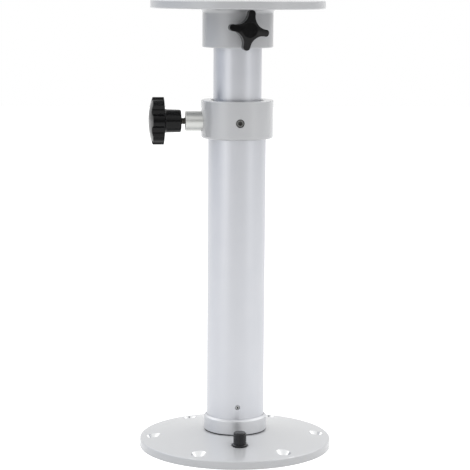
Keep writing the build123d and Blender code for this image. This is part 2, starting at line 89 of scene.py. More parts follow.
# %% [markdown]
# ## A white studio
#
# The picture has a pure white background. A stronger lamp would get there by burning out the
# metal, so the whiteness is painted instead: rays from the camera see a white world, and the
# floor adds white of its own to what the camera sees, while the object's soft shadow stays on
# it. Metal sees a share of the floor's white too, because a tube in a white studio is brightest
# near the floor.
#
# The light itself comes from a room that is grey at the sides and brighter in bands above the
# horizon, with the white backdrop behind the pedestal and a dimmer half behind the camera. Two
# soft boxes stand at the front, one on each side, and give the tubes their bands.

# %% Nodes and colours


def colour(code):
    """The linear colour that a shader reads, from an sRGB hex code."""
    channels = [int(code[i : i + 2], 16) / 255 for i in (1, 3, 5)]
    linear = [c / 12.92 if c <= 0.04045 else ((c + 0.055) / 1.055) ** 2.4 for c in channels]
    return (*linear, 1.0)


def add(tree, kind, inputs=None, **settings):
    """A new node; each input is a value, a socket, or a node whose first output is meant."""
    node = tree.nodes.new(kind)
    for name, value in settings.items():
        setattr(node, name, value)
    for socket, value in (inputs or {}).items():
        if isinstance(value, bpy.types.Node):
            value = value.outputs[0]
        if isinstance(value, bpy.types.NodeSocket):
            tree.links.new(value, node.inputs[socket])
        else:
            node.inputs[socket].default_value = value
    return node


# %% World
scene.view_settings.view_transform = "Standard"
room_back = 0.9
room_side = 0.44
room_low = 1.7
room_high = 2.1
room_top = 1.25
room_front_share = 0.5
room_left_tint = "#d9e4f6"

world = bpy.data.worlds.new("white_room")
scene.world = world
world.use_nodes = True
tree = world.node_tree
tree.nodes.clear()
direction = add(tree, "ShaderNodeTexCoord").outputs["Generated"]
toward_camera = add(
    tree,
    "ShaderNodeVectorMath",
    {0: direction, 1: (sin(camera_turn), -cos(camera_turn), 0)},
    operation="DOT_PRODUCT",
).outputs["Value"]
upward = add(tree, "ShaderNodeSeparateXYZ", {0: direction}).outputs["Z"]
# Above the horizon the room gets brighter in bands, each from one rise of the ray to the next.
level = room_side
for rise, full, band in ((0.1, 0.35, room_low), (0.35, 0.65, room_high), (0.65, 0.9, room_top)):
    above = add(
        tree,
        "ShaderNodeMapRange",
        {"Value": upward, 1: rise, 2: full},
        interpolation_type="SMOOTHSTEP",
    )
    level = add(
        tree, "ShaderNodeMix", {"Factor": above, "A": level, "B": band}, data_type="FLOAT"
    ).outputs["Result"]
# The white background goes on behind the pedestal, up to any height.
behind = add(
    tree,
    "ShaderNodeMapRange",
    {"Value": toward_camera, 1: -0.4, 2: -0.9},
    interpolation_type="SMOOTHSTEP",
)
level = add(
    tree, "ShaderNodeMix", {"Factor": behind, "A": level, "B": room_back}, data_type="FLOAT"
).outputs["Result"]
# The room is dimmer behind the camera, which keeps the faces towards it quiet.
in_front = add(
    tree,
    "ShaderNodeMapRange",
    {"Value": toward_camera, 1: 0.1, 2: 0.9, 3: 1.0, 4: room_front_share},
    interpolation_type="SMOOTHSTEP",
)
level = add(tree, "ShaderNodeMath", {0: level, 1: in_front}, operation="MULTIPLY")
seen_by = add(tree, "ShaderNodeLightPath")
level = add(
    tree,
    "ShaderNodeMix",
    {"Factor": seen_by.outputs["Is Camera Ray"], "A": level, "B": 1.0},
    data_type="FLOAT",
).outputs["Result"]
# Cool daylight comes from the left, which the edge of each tube shows.
to_left = add(
    tree,
    "ShaderNodeVectorMath",
    {0: direction, 1: (-cos(camera_turn), -sin(camera_turn), 0)},
    operation="DOT_PRODUCT",
).outputs["Value"]
cool = add(
    tree, "ShaderNodeMapRange", {"Value": to_left, 1: 0.7, 2: 1.0}, interpolation_type="SMOOTHSTEP"
)
unseen = add(
    tree, "ShaderNodeMath", {0: 1.0, 1: seen_by.outputs["Is Camera Ray"]}, operation="SUBTRACT"
)
cool = add(tree, "ShaderNodeMath", {0: cool, 1: unseen}, operation="MULTIPLY")
tint = add(
    tree,
    "ShaderNodeMix",
    {"Factor": cool, 6: (1, 1, 1, 1), 7: colour(room_left_tint)},
    data_type="RGBA",
).outputs[2]
background = add(tree, "ShaderNodeBackground", {"Color": tint, "Strength": level})
add(tree, "ShaderNodeOutputWorld", {"Surface": background})
print(f"room: {room_side} at the sides, {room_low} to {room_high} above, {room_back} behind")

# %% Lamps


def soft_box(name, place, aim, size, power):
    """A rectangular lamp at a place, turned towards its aim."""
    data = bpy.data.lights.new(name, "AREA")
    data.shape = "RECTANGLE"
    data.size, data.size_y = size
    data.energy = power
    lamp = bpy.data.objects.new(name, data)
    scene.collection.objects.link(lamp)
    turn = (Vector(aim) - Vector(place)).to_track_quat("-Z", "Y")
    lamp.matrix_world = Matrix.Translation(place) @ turn.to_matrix().to_4x4()
    return lamp


def around(angle, distance, height):
    """A place at an angle from the camera's side of the pedestal, to the right if positive."""
    heading = camera_turn - pi / 2 + radians(angle)
    return Vector((distance * cos(heading), distance * sin(heading), height))


lamp_height = 0.85
lamp_aim = (0, 0, lamp_height)
left_box = soft_box("left_box", around(-46, 1.6, lamp_height), lamp_aim, (0.85, 1.5), 2.25)
right_box = soft_box("right_box", around(54, 1.7, lamp_height), lamp_aim, (0.6, 1.5), 1.15)
print("soft boxes in watts:", left_box.data.energy, right_box.data.energy)

# %% Floor
floor_size = 12.0
floor_own_white = 0.86
share_in_metal = 0.75

bpy.ops.mesh.primitive_plane_add(size=floor_size)
floor = bpy.context.active_object
floor.name = "floor"
paper = bpy.data.materials.new("white_studio_paper")
paper.use_nodes = True
tree = paper.node_tree
tree.nodes.clear()
diffuse = add(tree, "ShaderNodeBsdfDiffuse", {"Color": colour("#bcbcbc")})
white = add(tree, "ShaderNodeEmission", {"Color": (1, 1, 1, 1), "Strength": floor_own_white})
both = add(tree, "ShaderNodeAddShader", {0: diffuse, 1: white})
seen_by = add(tree, "ShaderNodeLightPath")
whiteness = add(
    tree,
    "ShaderNodeMath",
    {0: seen_by.outputs["Is Glossy Ray"], 1: share_in_metal, 2: seen_by.outputs["Is Camera Ray"]},
    operation="MULTIPLY_ADD",
    use_clamp=True,
)
shown = add(tree, "ShaderNodeMixShader", {0: whiteness, 1: diffuse, 2: both})
add(tree, "ShaderNodeOutputMaterial", {"Surface": shown})
floor.data.materials.append(paper)
print(f"floor: {floor_size:.0f} m wide")

# %% [markdown]
# ## Finishes
#
# Each finish starts from what the real surface is and how it was made. Patterns read Object
# coordinates and are scaled from real sizes in millimetres. Most of them are finer than one
# pixel of the picture, which is a little over a millimetre, so they work as sheen there and
# show as texture only when someone looks closer.

# %% A blank finish


def blank_finish(name):
    """A material with nothing but its shader; returns the material, its tree and the shader."""
    finish = bpy.data.materials.new(name)
    finish.use_nodes = True
    tree = finish.node_tree
    tree.nodes.clear()
    shader = add(tree, "ShaderNodeBsdfPrincipled")
    add(tree, "ShaderNodeOutputMaterial", {"Surface": shader})
    return finish, tree, shader


def set_shader(shader, **values):
    """Plain values on the shader's own sockets; an underscore stands for a space."""
    for name, value in values.items():
        shader.inputs[name.replace("_", " ")].default_value = value


def dress(tree, shader, tones, gloss, relief):
    """Leads a finish's patterns to its shader: two tones, a range of roughness, a low relief."""
    pattern, dark, light = tones
    tone = add(
        tree,
        "ShaderNodeMix",
        {"Factor": pattern, 6: colour(dark), 7: colour(light)},
        data_type="RGBA",
    ).outputs[2]
    tree.links.new(tone, shader.inputs["Base Color"])
    pattern, low, high, smooth, rough = gloss
    roughness = add(
        tree, "ShaderNodeMapRange", {"Value": pattern, 1: low, 2: high, 3: smooth, 4: rough}
    )
    tree.links.new(roughness.outputs[0], shader.inputs["Roughness"])
    pattern, depth, strength = relief
    normal = add(
        tree, "ShaderNodeBump", {"Strength": strength, "Distance": depth, "Height": pattern}
    )
    tree.links.new(normal.outputs[0], shader.inputs["Normal"])


# %% [markdown]
# Natural anodising leaves drawn aluminium tube grey and satin. The fine lines of the drawing die
# run along the tube, so the noise is stretched along Z and the highlight spreads sideways.

# %% Anodised aluminium tube
die_line_width = 0.45 * mm
die_line_length = 60 * mm
cloud_size = 35 * mm


def anodised_aluminium():
    finish, tree, shader = blank_finish("satin_anodised_aluminium")
    set_shader(shader, Metallic=1.0)
    place = add(tree, "ShaderNodeTexCoord").outputs["Object"]
    stretched = add(
        tree,
        "ShaderNodeMapping",
        {"Vector": place, "Scale": (1 / die_line_width, 1 / die_line_width, 1 / die_line_length)},
    )
    lines = add(tree, "ShaderNodeTexNoise", {"Vector": stretched, "Scale": 1.0, "Detail": 2.0})
    clouds = add(tree, "ShaderNodeTexNoise", {"Vector": place, "Scale": 1 / cloud_size})
    dress(
        tree,
        shader,
        tones=(clouds, "#c5c7cc", "#cccdd1"),
        gloss=(lines, 0.25, 0.75, 0.34, 0.42),
        relief=(lines, 0.004 * mm, 0.35),
    )
    return finish


# %% [markdown]
# The castings are coated with silver powder. Baked powder is a little wavy, like orange peel,
# and its aluminium flakes sit under a clear layer, so it is a pale metal with a soft coat.

# %% Silver powder coat
peel_size = 1.1 * mm
flake_size = 0.25 * mm


def silver_powder_coat():
    finish, tree, shader = blank_finish("silver_powder_coat")
    set_shader(shader, Metallic=0.35, Coat_Weight=0.9, Coat_Roughness=0.1)
    place = add(tree, "ShaderNodeTexCoord").outputs["Object"]
    peel = add(tree, "ShaderNodeTexNoise", {"Vector": place, "Scale": 1 / peel_size, "Detail": 1.0})
    flakes = add(
        tree, "ShaderNodeTexVoronoi", {"Vector": place, "Scale": 1 / flake_size}, feature="F1"
    )
    dress(
        tree,
        shader,
        tones=(flakes.outputs["Distance"], "#c3c4c6", "#babbbd"),
        gloss=(flakes.outputs["Distance"], 0.0, 0.8, 0.46, 0.56),
        relief=(peel, 0.012 * mm, 0.4),
    )
    return finish


# %% [markdown]
# A lathe leaves a fine groove for each turn of the work. Across the boss these grooves stand in
# rings round its axis, so the waves run along the axis that the piece was turned on. At a scale
# of 1 the wave texture has a band every twentieth of 2 pi.

# %% Turned metal
turning_feed = 0.3 * mm
wave_scale = 2 * pi / (20 * turning_feed)
smear_size = 6 * mm


def turned_metal(name, axis, dark, light, rough=0.3):
    finish, tree, shader = blank_finish(name)
    set_shader(shader, Metallic=1.0)
    place = add(tree, "ShaderNodeTexCoord").outputs["Object"]
    rings = add(
        tree,
        "ShaderNodeTexWave",
        {"Vector": place, "Scale": wave_scale, "Distortion": 0.6, "Detail": 1.0},
        wave_type="BANDS",
        bands_direction=axis,
        wave_profile="TRI",
    )
    smears = add(tree, "ShaderNodeTexNoise", {"Vector": place, "Scale": 1 / smear_size})
    dress(
        tree,
        shader,
        tones=(smears, dark, light),
        gloss=(smears, 0.3, 0.7, rough - 0.02, rough + 0.03),
        relief=(rings.outputs[1], 0.004 * mm, 0.25),
    )
    return finish


# %% [markdown]
# The knobs are moulded in black plastic. A polished mould makes the big ones glossy, with the
# faint waviness of cooled plastic. Rubber and nylon are the same recipe with less gloss and a
# finer grain, and the knurled knob's black is flecked with paler grey at random, a painted sheen for
# the glints on its teeth.

# %% Moulded plastic and rubber


def moulded(name, dark, light, rough, grain, depth, coat=0.0):
    finish, tree, shader = blank_finish(name)
    set_shader(shader, IOR=1.5, Specular_IOR_Level=0.22, Coat_Weight=coat, Coat_Roughness=0.08)
    place = add(tree, "ShaderNodeTexCoord").outputs["Object"]
    texture = add(tree, "ShaderNodeTexNoise", {"Vector": place, "Scale": 1 / grain, "Detail": 2.0})
    dress(
        tree,
        shader,
        tones=(texture, dark, light),
        gloss=(texture, 0.3, 0.7, rough - 0.03, rough + 0.05),
        relief=(texture, depth, 0.4),
    )
    return finish


# %% The finishes of this pedestal
tube_finish = anodised_aluminium()
casting_finish = silver_powder_coat()
boss_finish = turned_metal("turned_aluminium_boss", "X", "#c4c5c2", "#cecfcc", 0.38)
foot_finish = turned_metal("turned_aluminium_foot", "Z", "#cccdd0", "#d3d4d6", 0.45)
stud_finish = turned_metal("zinc_plated_stud", "X", "#6e6d68", "#8f8e88", 0.34)
steel_finish = turned_metal("stainless_steel", "Z", "#9b9b99", "#b4b4b1", 0.3)
machined_finish = turned_metal("machined_aluminium", "Z", "#d2d3d5", "#dcdddd", 0.16)
bright_finish = turned_metal("zinc_plated_screw", "Z", "#bcbdbd", "#c8c9c9", 0.3)
# A dark steel for the faces inside the screws' sockets: painted shade in the recess.
socket_shade_finish = turned_metal("painted_socket_shade_steel", "Z", "#3c3c3b", "#484746", 0.4)
oxide_finish = turned_metal("black_oxide_steel", "Z", "#747473", "#868684", 0.36)
brass_finish = turned_metal("turned_brass", "X", "#a8893f", "#c4a557", 0.25)
knob_finish = moulded("glossy_black_plastic", "#060607", "#0b0b0c", 0.16, 2.5 * mm, 0.01 * mm)
# The paler tone of the knurled black is random flecks of painted sheen for the glints on its teeth.
knurl_finish = moulded("knurled_black_plastic", "#040405", "#2e2e31", 0.16, 1.2 * mm, 0.02 * mm, 0.25)
nylon_finish = moulded("black_nylon", "#1b1b1c", "#29292a", 0.45, 0.5 * mm, 0.01 * mm)
rubber_finish = moulded("nitrile_rubber", "#2a2b2c", "#38393a", 0.6, 0.4 * mm, 0.015 * mm)
print("finishes:", ", ".join(finish.name for finish in bpy.data.materials))

# %% [markdown]
# ## Turning and cutting meshes
#
# Nearly every piece of this pedestal was turned on a lathe or is round by its casting. So one
# helper spins a section round an axis, another rounds the corners of the section with true arcs,
# and a third cuts holes with a Boolean. The section is written as corners with a radius each.

# %% Sections
arc_steps = 6


def as_object(name, mesh):
    """Turns a finished bmesh into an object in the scene."""
    data = bpy.data.meshes.new(name)
    mesh.to_mesh(data)
    mesh.free()
    piece = bpy.data.objects.new(name, data)
    scene.collection.objects.link(piece)
    return piece


def section(*corners):
    """Points of a closed section; a corner is (radius, height) or (radius, height, rounding)."""
    points = []
    count = len(corners)
    for index, corner in enumerate(corners):
        here = Vector(corner[:2])
        rounding = corner[2] if len(corner) > 2 else 0
        if not rounding:
            points.append(here)
            continue
        before = (Vector(corners[index - 1][:2]) - here).normalized()
        after = (Vector(corners[(index + 1) % count][:2]) - here).normalized()
        half = acos(max(-1, min(1, before.dot(after)))) / 2
        centre = here + (before + after).normalized() * rounding / sin(half)
        first = here + before * rounding / tan(half) - centre
        last = here + after * rounding / tan(half) - centre
        start = atan2(first.y, first.x)
        sweep = (atan2(last.y, last.x) - start + pi) % (2 * pi) - pi
        for step in range(arc_steps + 1):
            angle = start + sweep * step / arc_steps
            points.append(centre + Vector((cos(angle), sin(angle))) * rounding)
    return points


def turned(name, points, segments=128, centre=(0, 0), turn=0.0):
    """A closed solid of revolution about an upright axis."""
    mesh = bmesh.new()
    rings = []
    for point in points:
        if point.x < 1e-7:
            rings.append([mesh.verts.new((*centre, point.y))])
            continue
        ring = []
        for step in range(segments):
            angle = turn + 2 * pi * step / segments
            x, y = centre[0] + point.x * cos(angle), centre[1] + point.x * sin(angle)
            ring.append(mesh.verts.new((x, y, point.y)))
        rings.append(ring)
    for lower, upper in zip(rings, rings[1:] + rings[:1]):
        for step in range(segments):
            after = (step + 1) % segments
            if len(lower) == 1 and len(upper) == 1:
                break
            if len(lower) == 1:
                mesh.faces.new((lower[0], upper[after], upper[step]))
            elif len(upper) == 1:
                mesh.faces.new((lower[step], lower[after], upper[0]))
            else:
                mesh.faces.new((lower[step], lower[after], upper[after], upper[step]))
    bmesh.ops.recalc_face_normals(mesh, faces=mesh.faces)
    return as_object(name, mesh)


def rod(name, radius, low, high, segments=48, centre=(0, 0)):
    """A plain round rod, which is mostly there to cut a hole."""
    corners = section((0, low), (radius, low), (radius, high), (0, high))
    return turned(name, corners, segments=segments, centre=centre)


def sleeve(name, inner, outer, low, high, roundings, segments):
    """A length of tube; its roundings go inner low, outer low, outer high, inner high."""
    corners = zip((inner, outer, outer, inner), (low, low, high, high), roundings)
    return turned(name, section(*corners), segments=segments)


# %% Cutting, placing and handing over
sharp_from = radians(28)


def plain(piece):
    """Bakes a piece's modifiers into its mesh and removes them."""
    bpy.context.view_layer.update()
    evaluated = piece.evaluated_get(bpy.context.evaluated_depsgraph_get())
    data = bpy.data.meshes.new_from_object(evaluated)
    piece.modifiers.clear()
    piece.data = data
    data.name = piece.name
    return piece


def cut(piece, *cutters):
    """Cuts each cutter's shape out of a piece, and removes the cutter."""
    for cutter in cutters:
        tool = piece.modifiers.new("cut", "BOOLEAN")
        tool.operation = "DIFFERENCE"
        tool.solver = "EXACT"
        tool.object = cutter
        plain(piece)
        bpy.data.objects.remove(cutter)
    return piece


def outward(angle, height):
    """The place on the column's axis whose Z points outwards and whose X points up."""
    z_way = Vector((cos(angle), sin(angle), 0))
    x_way = Vector((0, 0, 1))
    axes = Matrix((x_way, z_way.cross(x_way), z_way)).transposed().to_4x4()
    return Matrix.Translation((0, 0, height)) @ axes


def placed(piece, place):
    """Moves a piece's mesh, so that its object stays at the origin."""
    piece.data.transform(place)
    return piece


def smoothed(piece):
    """Shades a piece smooth. Its large faces count most, so that flat ones stay flat to the eye."""
    piece.data.shade_smooth()
    piece.data.set_sharp_from_angle(angle=sharp_from)
    tool = piece.modifiers.new("weighted", "WEIGHTED_NORMAL")
    tool.keep_sharp = True
    return plain(piece)


def hand_over(piece, finish, body, slot, *nodes):
    """Smooths a finished piece, gives it its finish, hangs it under its body and hides the nodes it
    replaces.
    """
    piece.data.materials.clear()
    piece.data.materials.append(finish)
    smoothed(piece)
    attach(piece, body)
    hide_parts(*nodes)
    print(f"{piece.name}: {len(piece.data.polygons)} faces on {body}")
    return piece


def bare_or_shade(piece, finish, cut_or_shaded):
    """Gives some faces a finish of their own: bare metal where a tool cut the coating, painted shade
    in a socket.
    """
    piece.data.materials.append(finish)
    for face in piece.data.polygons:
        if cut_or_shaded(face.center, face.normal):
            face.material_index = 1


def from_nearest_copy(spot, count, start):
    """How far out a spot is along the nearest of the directions round the axis, and how far aside."""
    step = 2 * pi / count
    off = (atan2(spot.y, spot.x) - start + step / 2) % step - step / 2
    return spot.xy.length * cos(off), spot.xy.length * sin(off)


def middle_of(node):
    """The middle of a node's box."""
    low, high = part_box(node)
    return (low + high) / 2


# %% Sizes read from the frame
base_low, base_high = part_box("base_plate")
base_radius = base_high.x
crown_height = base_high.z
tube_low, tube_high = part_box("column_tube")
tube_radius = tube_high.x
inner_low, inner_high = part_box("inner_tube")
inner_radius = inner_high.x
collar_low, collar_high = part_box("collar")
collar_radius = (collar_high.y - collar_low.y) / 2
clamp_height = middle_of("clamp_boss").z
top_low, top_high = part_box("top_support")
lock_middle = middle_of("lock_screw")
tube_wall = 3 * mm
clamp_side = pi
top_way = middle_of("top_clamp_screw")
top_side = atan2(top_way.y, top_way.x)
print(f"outer tube {2 * tube_radius / mm:.1f} mm, inner tube {2 * inner_radius / mm:.1f} mm")
print(f"clamp {clamp_height / mm:.1f} mm up, top clamp turned to {degrees(top_side):.2f} degrees")

# %% [markdown]
# ## Repeats by Geometry Nodes
#
# Screws sit at equal angles round the column, so one tree copies a piece round the Z axis. The
# copies are made real and given their material at the end of the tree, because the exported
# model keeps meshes and not instances.

# %% A tree with named inputs


def new_tree(name, sizes):
    """A geometry tree with a float or integer input for each size; returns its ends."""
    tree = bpy.data.node_groups.new(name, "GeometryNodeTree")
    tree.interface.new_socket("Geometry", in_out="INPUT", socket_type="NodeSocketGeometry")
    for size, value in sizes.items():
        kind = "NodeSocketInt" if isinstance(value, int) else "NodeSocketFloat"
        tree.interface.new_socket(size, in_out="INPUT", socket_type=kind).default_value = value
    tree.interface.new_socket("Material", in_out="INPUT", socket_type="NodeSocketMaterial")
    tree.interface.new_socket("Geometry", in_out="OUTPUT", socket_type="NodeSocketGeometry")
    return tree, tree.nodes.new("NodeGroupInput").outputs, tree.nodes.new("NodeGroupOutput")


def end_tree(tree, given, out, shape):
    """Realizes the instances, sets the material and closes the tree."""
    real = add(tree, "GeometryNodeRealizeInstances", {0: shape})
    coated = add(tree, "GeometryNodeSetMaterial", {0: real, "Material": given["Material"]})
    tree.links.new(coated.outputs[0], out.inputs[0])
    print(f"{tree.name}: a tree of {len(tree.nodes)} nodes")
    return tree


def grown(piece, tree, finish, **sizes):
    """Runs a geometry tree on a piece with the given sizes, and keeps the plain mesh."""
    tool = piece.modifiers.new(tree.name, "NODES")
    tool.node_group = tree
    sizes["Material"] = finish
    for item in tree.interface.items_tree:
        if item.in_out == "INPUT" and item.name in sizes:
            tool[item.identifier] = sizes[item.name]
    return plain(piece)


# %% Copies round the column
tree, given, out = new_tree("copies_round_the_axis", {"Count": 3, "Start": 0.0})
spots = add(tree, "GeometryNodePoints", {"Count": given["Count"]})
number = add(tree, "GeometryNodeInputIndex")
share = add(tree, "ShaderNodeMath", {0: number, 1: given["Count"]}, operation="DIVIDE")
angle = add(
    tree, "ShaderNodeMath", {0: share, 1: 2 * pi, 2: given["Start"]}, operation="MULTIPLY_ADD"
)
turn = add(tree, "ShaderNodeCombineXYZ", {"Z": angle})
copies = add(
    tree,
    "GeometryNodeInstanceOnPoints",
    {"Points": spots, "Instance": given["Geometry"], "Rotation": turn},
)
copies_tree = end_tree(tree, given, out, copies)

# %% [markdown]
# ## The base casting
#
# The base is a shallow cone with a rounded rim, drilled for six countersunk screws. Its flanks
# in the photograph fall in a straight line from the foot's ring to the rim. The cone is spun
# from a section, and the screw holes are one cutter copied round the axis.

# %% Base casting
rim_height = 10 * mm
rim_rounding = 2 * mm
crown_radius = 42 * mm
socket_radius = 30 * mm
socket_floor = 4 * mm
hole_circle = 102 * mm
hole_radius = 4.25 * mm
sink_radius = 9 * mm
hole_count = 6
cutter_excess = 4 * mm
crown_fall = (crown_height - rim_height) / (base_radius - crown_radius)


def cone_height(radius):
    """Height of the conical top at a radius."""
    return rim_height + (base_radius - radius) * crown_fall


def countersunk(name, across, radius, sink, low, face, side):
    """A cutter for a countersunk hole whose wide end opens at a face, upwards or downwards."""
    past = face + side * cutter_excess
    corners = section(
        (0, low),
        (radius, low),
        (radius, face - side * (sink - radius)),
        (sink + cutter_excess, past),
        (0, past),
    )
    return turned(name, corners, segments=48, centre=(across, 0))


base = turned(
    "base_casting",
    section(
        (0, 0),
        (base_radius, 0, 0.4 * mm),
        (base_radius, rim_height, rim_rounding),
        (crown_radius, crown_height, 6 * mm),
        (socket_radius + 1 * mm, crown_height),
        (socket_radius, crown_height - 1 * mm),
        (socket_radius, socket_floor),
        (0, socket_floor),
    ),
    segments=192,
)
holes = countersunk(
    "screw_holes", hole_circle, hole_radius, sink_radius, -1 * mm, cone_height(hole_circle), 1
)
grown(holes, copies_tree, None, Count=hole_count, Start=0.0)
spotface_radius = 10.3 * mm
spotface_depth = 0.1 * mm
far_above = 1.0
spotface_height = cone_height(-lock_middle.y + spotface_radius) - spotface_depth
spotface = rod("spotface", spotface_radius, spotface_height, far_above, 64, lock_middle.xy)
cut(base, holes, spotface)

# %% [markdown]
# Underneath, the casting is relieved by six pockets between radial ribs; the front rib is wide,
# because the foot's lock runs in it. A pocket is a block between two radii whose sides keep
# their distance from the ribs, so its width in degrees changes with the radius.
#
# The cones of the screw holes mirror the white studio in the photograph, and the coated top
# beside them doesn't. So they are cut after the coating, and get the finish of bare metal.

# %% Pockets and the lock's slot
pocket_inner = 46 * mm
pocket_outer = 88 * mm
pocket_roof = 6 * mm
rib_half = 3.5 * mm
lock_rib_half = 15 * mm
pocket_steps = 10


def pocket(name, first, last, first_rib, last_rib):
    """A cutter for the pocket between the ribs at two angles."""
    mesh = bmesh.new()
    grid = []
    for ring in range(pocket_steps + 1):
        radius = pocket_inner + (pocket_outer - pocket_inner) * ring / pocket_steps
        start = first + asin(first_rib / radius)
        end = last - asin(last_rib / radius)
        column = []
        for step in range(pocket_steps + 1):
            angle = start + (end - start) * step / pocket_steps
            x, y = radius * cos(angle), radius * sin(angle)
            heights = (-1 * mm, cone_height(radius) - pocket_roof)
            column.append([mesh.verts.new((x, y, z)) for z in heights])
        grid.append(column)
    for ring in range(pocket_steps):
        for step in range(pocket_steps):
            a, b = grid[ring][step], grid[ring + 1][step]
            c, d = grid[ring + 1][step + 1], grid[ring][step + 1]
            for level in (0, 1):
                mesh.faces.new((a[level], b[level], c[level], d[level]))
    border = [grid[0][s] for s in range(pocket_steps)]
    border += [grid[r][pocket_steps] for r in range(pocket_steps)]
    border += [grid[pocket_steps][s] for s in range(pocket_steps, 0, -1)]
    border += [grid[r][0] for r in range(pocket_steps, 0, -1)]
    for here, after in zip(border, border[1:] + border[:1]):
        mesh.faces.new((here[0], after[0], after[1], here[1]))
    bmesh.ops.recalc_face_normals(mesh, faces=mesh.faces)
    return as_object(name, mesh)


def block(name, low, high):
    """A box between two corners."""
    mesh = bmesh.new()
    bmesh.ops.create_cube(mesh, size=1.0)
    span = Vector(high) - Vector(low)
    place = Matrix.Translation((Vector(high) + Vector(low)) / 2) @ Matrix.Diagonal((*span, 1))
    mesh.transform(place)
    return as_object(name, mesh)


def rib_of(index):
    """Half the thickness of a rib, counted from the wide one at the front."""
    return lock_rib_half if index % hole_count == 0 else rib_half


for index in range(hole_count):
    start = -pi / 2 + 2 * pi / hole_count * index
    end = start + 2 * pi / hole_count
    cut(base, pocket("pocket", start, end, rib_of(index), rib_of(index + 1)))
cover_low, cover_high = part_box("lock_cover")
bar_low, bar_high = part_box("lock_bar")
room = 0.1 * mm
below = -1 * mm
recess = block(
    "recess",
    (cover_low.x - room, cover_low.y - room, below),
    (cover_high.x + room, cover_high.y + room, cover_high.z + room),
)
bar_travel = 3 * mm
slot = block(
    "slot",
    (bar_low.x - room, bar_low.y - bar_travel, below),
    (bar_high.x + room, bar_high.y + 1 * mm, bar_high.z + room),
)
lock_bore = 3.1 * mm
lock_bore_low = 9 * mm
lock_bore_high = 17 * mm
screw_hole = rod("screw_hole", lock_bore, lock_bore_low, lock_bore_high, centre=lock_middle.xy)
key_middle = middle_of("key_pin")
key_low, key_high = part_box("key_pin")
key_radius = (key_high.x - key_low.x) / 2
above_crown = 25 * mm
key_hole = rod("key_hole", key_radius, key_low.z, above_crown, centre=key_middle.xy)
cut(base, recess, slot, screw_hole, key_hole)
hand_over(base, casting_finish, "base", "silver_coating", "base_plate")


def in_a_countersink(centre, normal):
    """Whether a face is on the cone of a screw hole, which is cut after the casting is coated."""
    outwards, aside = from_nearest_copy(centre, hole_count, 0)
    return 0.6 < normal.z < 0.8 and abs(aside) + abs(outwards - hole_circle) < 2 * sink_radius


bare_or_shade(base, machined_finish, in_a_countersink)

# %% [markdown]
# ## The foot and the outer tube
#
# The foot is one turned piece: a spigot for the socket, a flange, a ring round the tube with a
# sloping top edge that catches the lamps, and a plug inside the tube. Its groove holds the
# tube, which three small set screws lock.

# %% Foot
foot_low, foot_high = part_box("foot")
ring_radius = foot_high.x
seal_low, seal_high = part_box("foot_seal")
ring_height = 18.5 * mm
ring_slope = 2.4 * mm
spigot_radius = 29.9 * mm
plug_radius = tube_radius - tube_wall
bore_radius = 25 * mm
bore_floor = 12 * mm
ring_gap = 0.15 * mm
plug_gap = 0.02 * mm
foot = turned(
    "turned_foot",
    section(
        (0, foot_low.z),
        (spigot_radius, foot_low.z, 1 * mm),
        (spigot_radius, seal_high.z),
        (ring_radius, seal_high.z, 0.5 * mm),
        (ring_radius, seal_high.z + ring_height - ring_slope, 0.9 * mm),
        (tube_radius + ring_gap, seal_high.z + ring_height, 0.3 * mm),
        (tube_radius + ring_gap, tube_low.z),
        (plug_radius - plug_gap, tube_low.z),
        (plug_radius - plug_gap, foot_high.z, 0.8 * mm),
        (bore_radius, foot_high.z),
        (bore_radius, bore_floor),
        (0, bore_floor),
    ),
    segments=160,
)
slot_radius = key_radius + 0.3 * mm
key_slot = rod("key_slot", slot_radius, 0, seal_high.z, 32, key_middle.xy)
far = 2 * spigot_radius
flat_depth = 1 * mm
flat = block("flat", (-far, -far, 0), (far, -spigot_radius + flat_depth, seal_high.z))
cut(foot, key_slot, flat)


def side_holes(name, radius, inner, outer, height, start=-90, count=3):
    """Round cutters pointing outwards, copied round the column."""
    cutter = placed(rod(name, radius, inner, outer, 40), outward(0, height))
    return grown(cutter, copies_tree, None, Count=count, Start=radians(start))


foot_screw_height = middle_of("foot_set_screws").z
foot_screw_radius = 2.5 * mm
in_the_tubes = 20 * mm
past_the_plug = 34.5 * mm
cut(foot, side_holes("holes", foot_screw_radius, in_the_tubes, past_the_plug, foot_screw_height))
hand_over(foot, foot_finish, "column", "turned_aluminium", "foot")

# %% Seal
seal_inside = spigot_radius + 1.1 * mm
seal_edges = (0, 0.3 * mm, 0.3 * mm, 0)
seal = sleeve("rubber_seal", seal_inside, seal_high.x, seal_low.z, seal_high.z, seal_edges, 160)
hand_over(seal, rubber_finish, "column", "rubber", "foot_seal")

# %% Outer tube
sink_start = tube_radius - 0.9 * mm
sink_end = tube_radius + 1.1 * mm
past_the_collar = 50 * mm
pad_bore = 4.6 * mm


def drawn_tube(name, radius, low, high):
    """A tube with its cut edges broken."""
    return sleeve(name, radius - tube_wall, radius, low, high, 4 * [0.3 * mm], 192)


def pad_hole():
    """A cutter for the hole that the height clamp's pad passes on its way to the inner tube."""
    return side_holes("pad_hole", pad_bore, in_the_tubes, past_the_collar, clamp_height, 180, 1)


tube = drawn_tube("outer_tube", tube_radius, tube_low.z, tube_high.z)
countersink = turned(
    "countersink",
    section(
        (0, in_the_tubes),
        (foot_screw_radius, in_the_tubes),
        (foot_screw_radius, sink_start),
        (foot_screw_radius + sink_end - sink_start, sink_end),
        (0, sink_end),
    ),
    segments=40,
)
placed(countersink, outward(0, foot_screw_height))
grown(countersink, copies_tree, None, Count=3, Start=-pi / 2)
cut(tube, countersink, pad_hole())
hand_over(tube, tube_finish, "column", "anodised_aluminium", "column_tube")

# %% [markdown]
# ## Set screws
#
# A set screw is a threaded rod with a hexagon socket in its end. The thread is a spiral curve
# with a diamond section, run round a plain core; the outer half of the diamond is the thread's
# ridge. The same tree threads the knobs' studs, whose bare ends show.

# %% A thread tree
stud_thread = {"Radius": 4 * mm, "Pitch": 1.25 * mm, "Depth": 0.6 * mm}

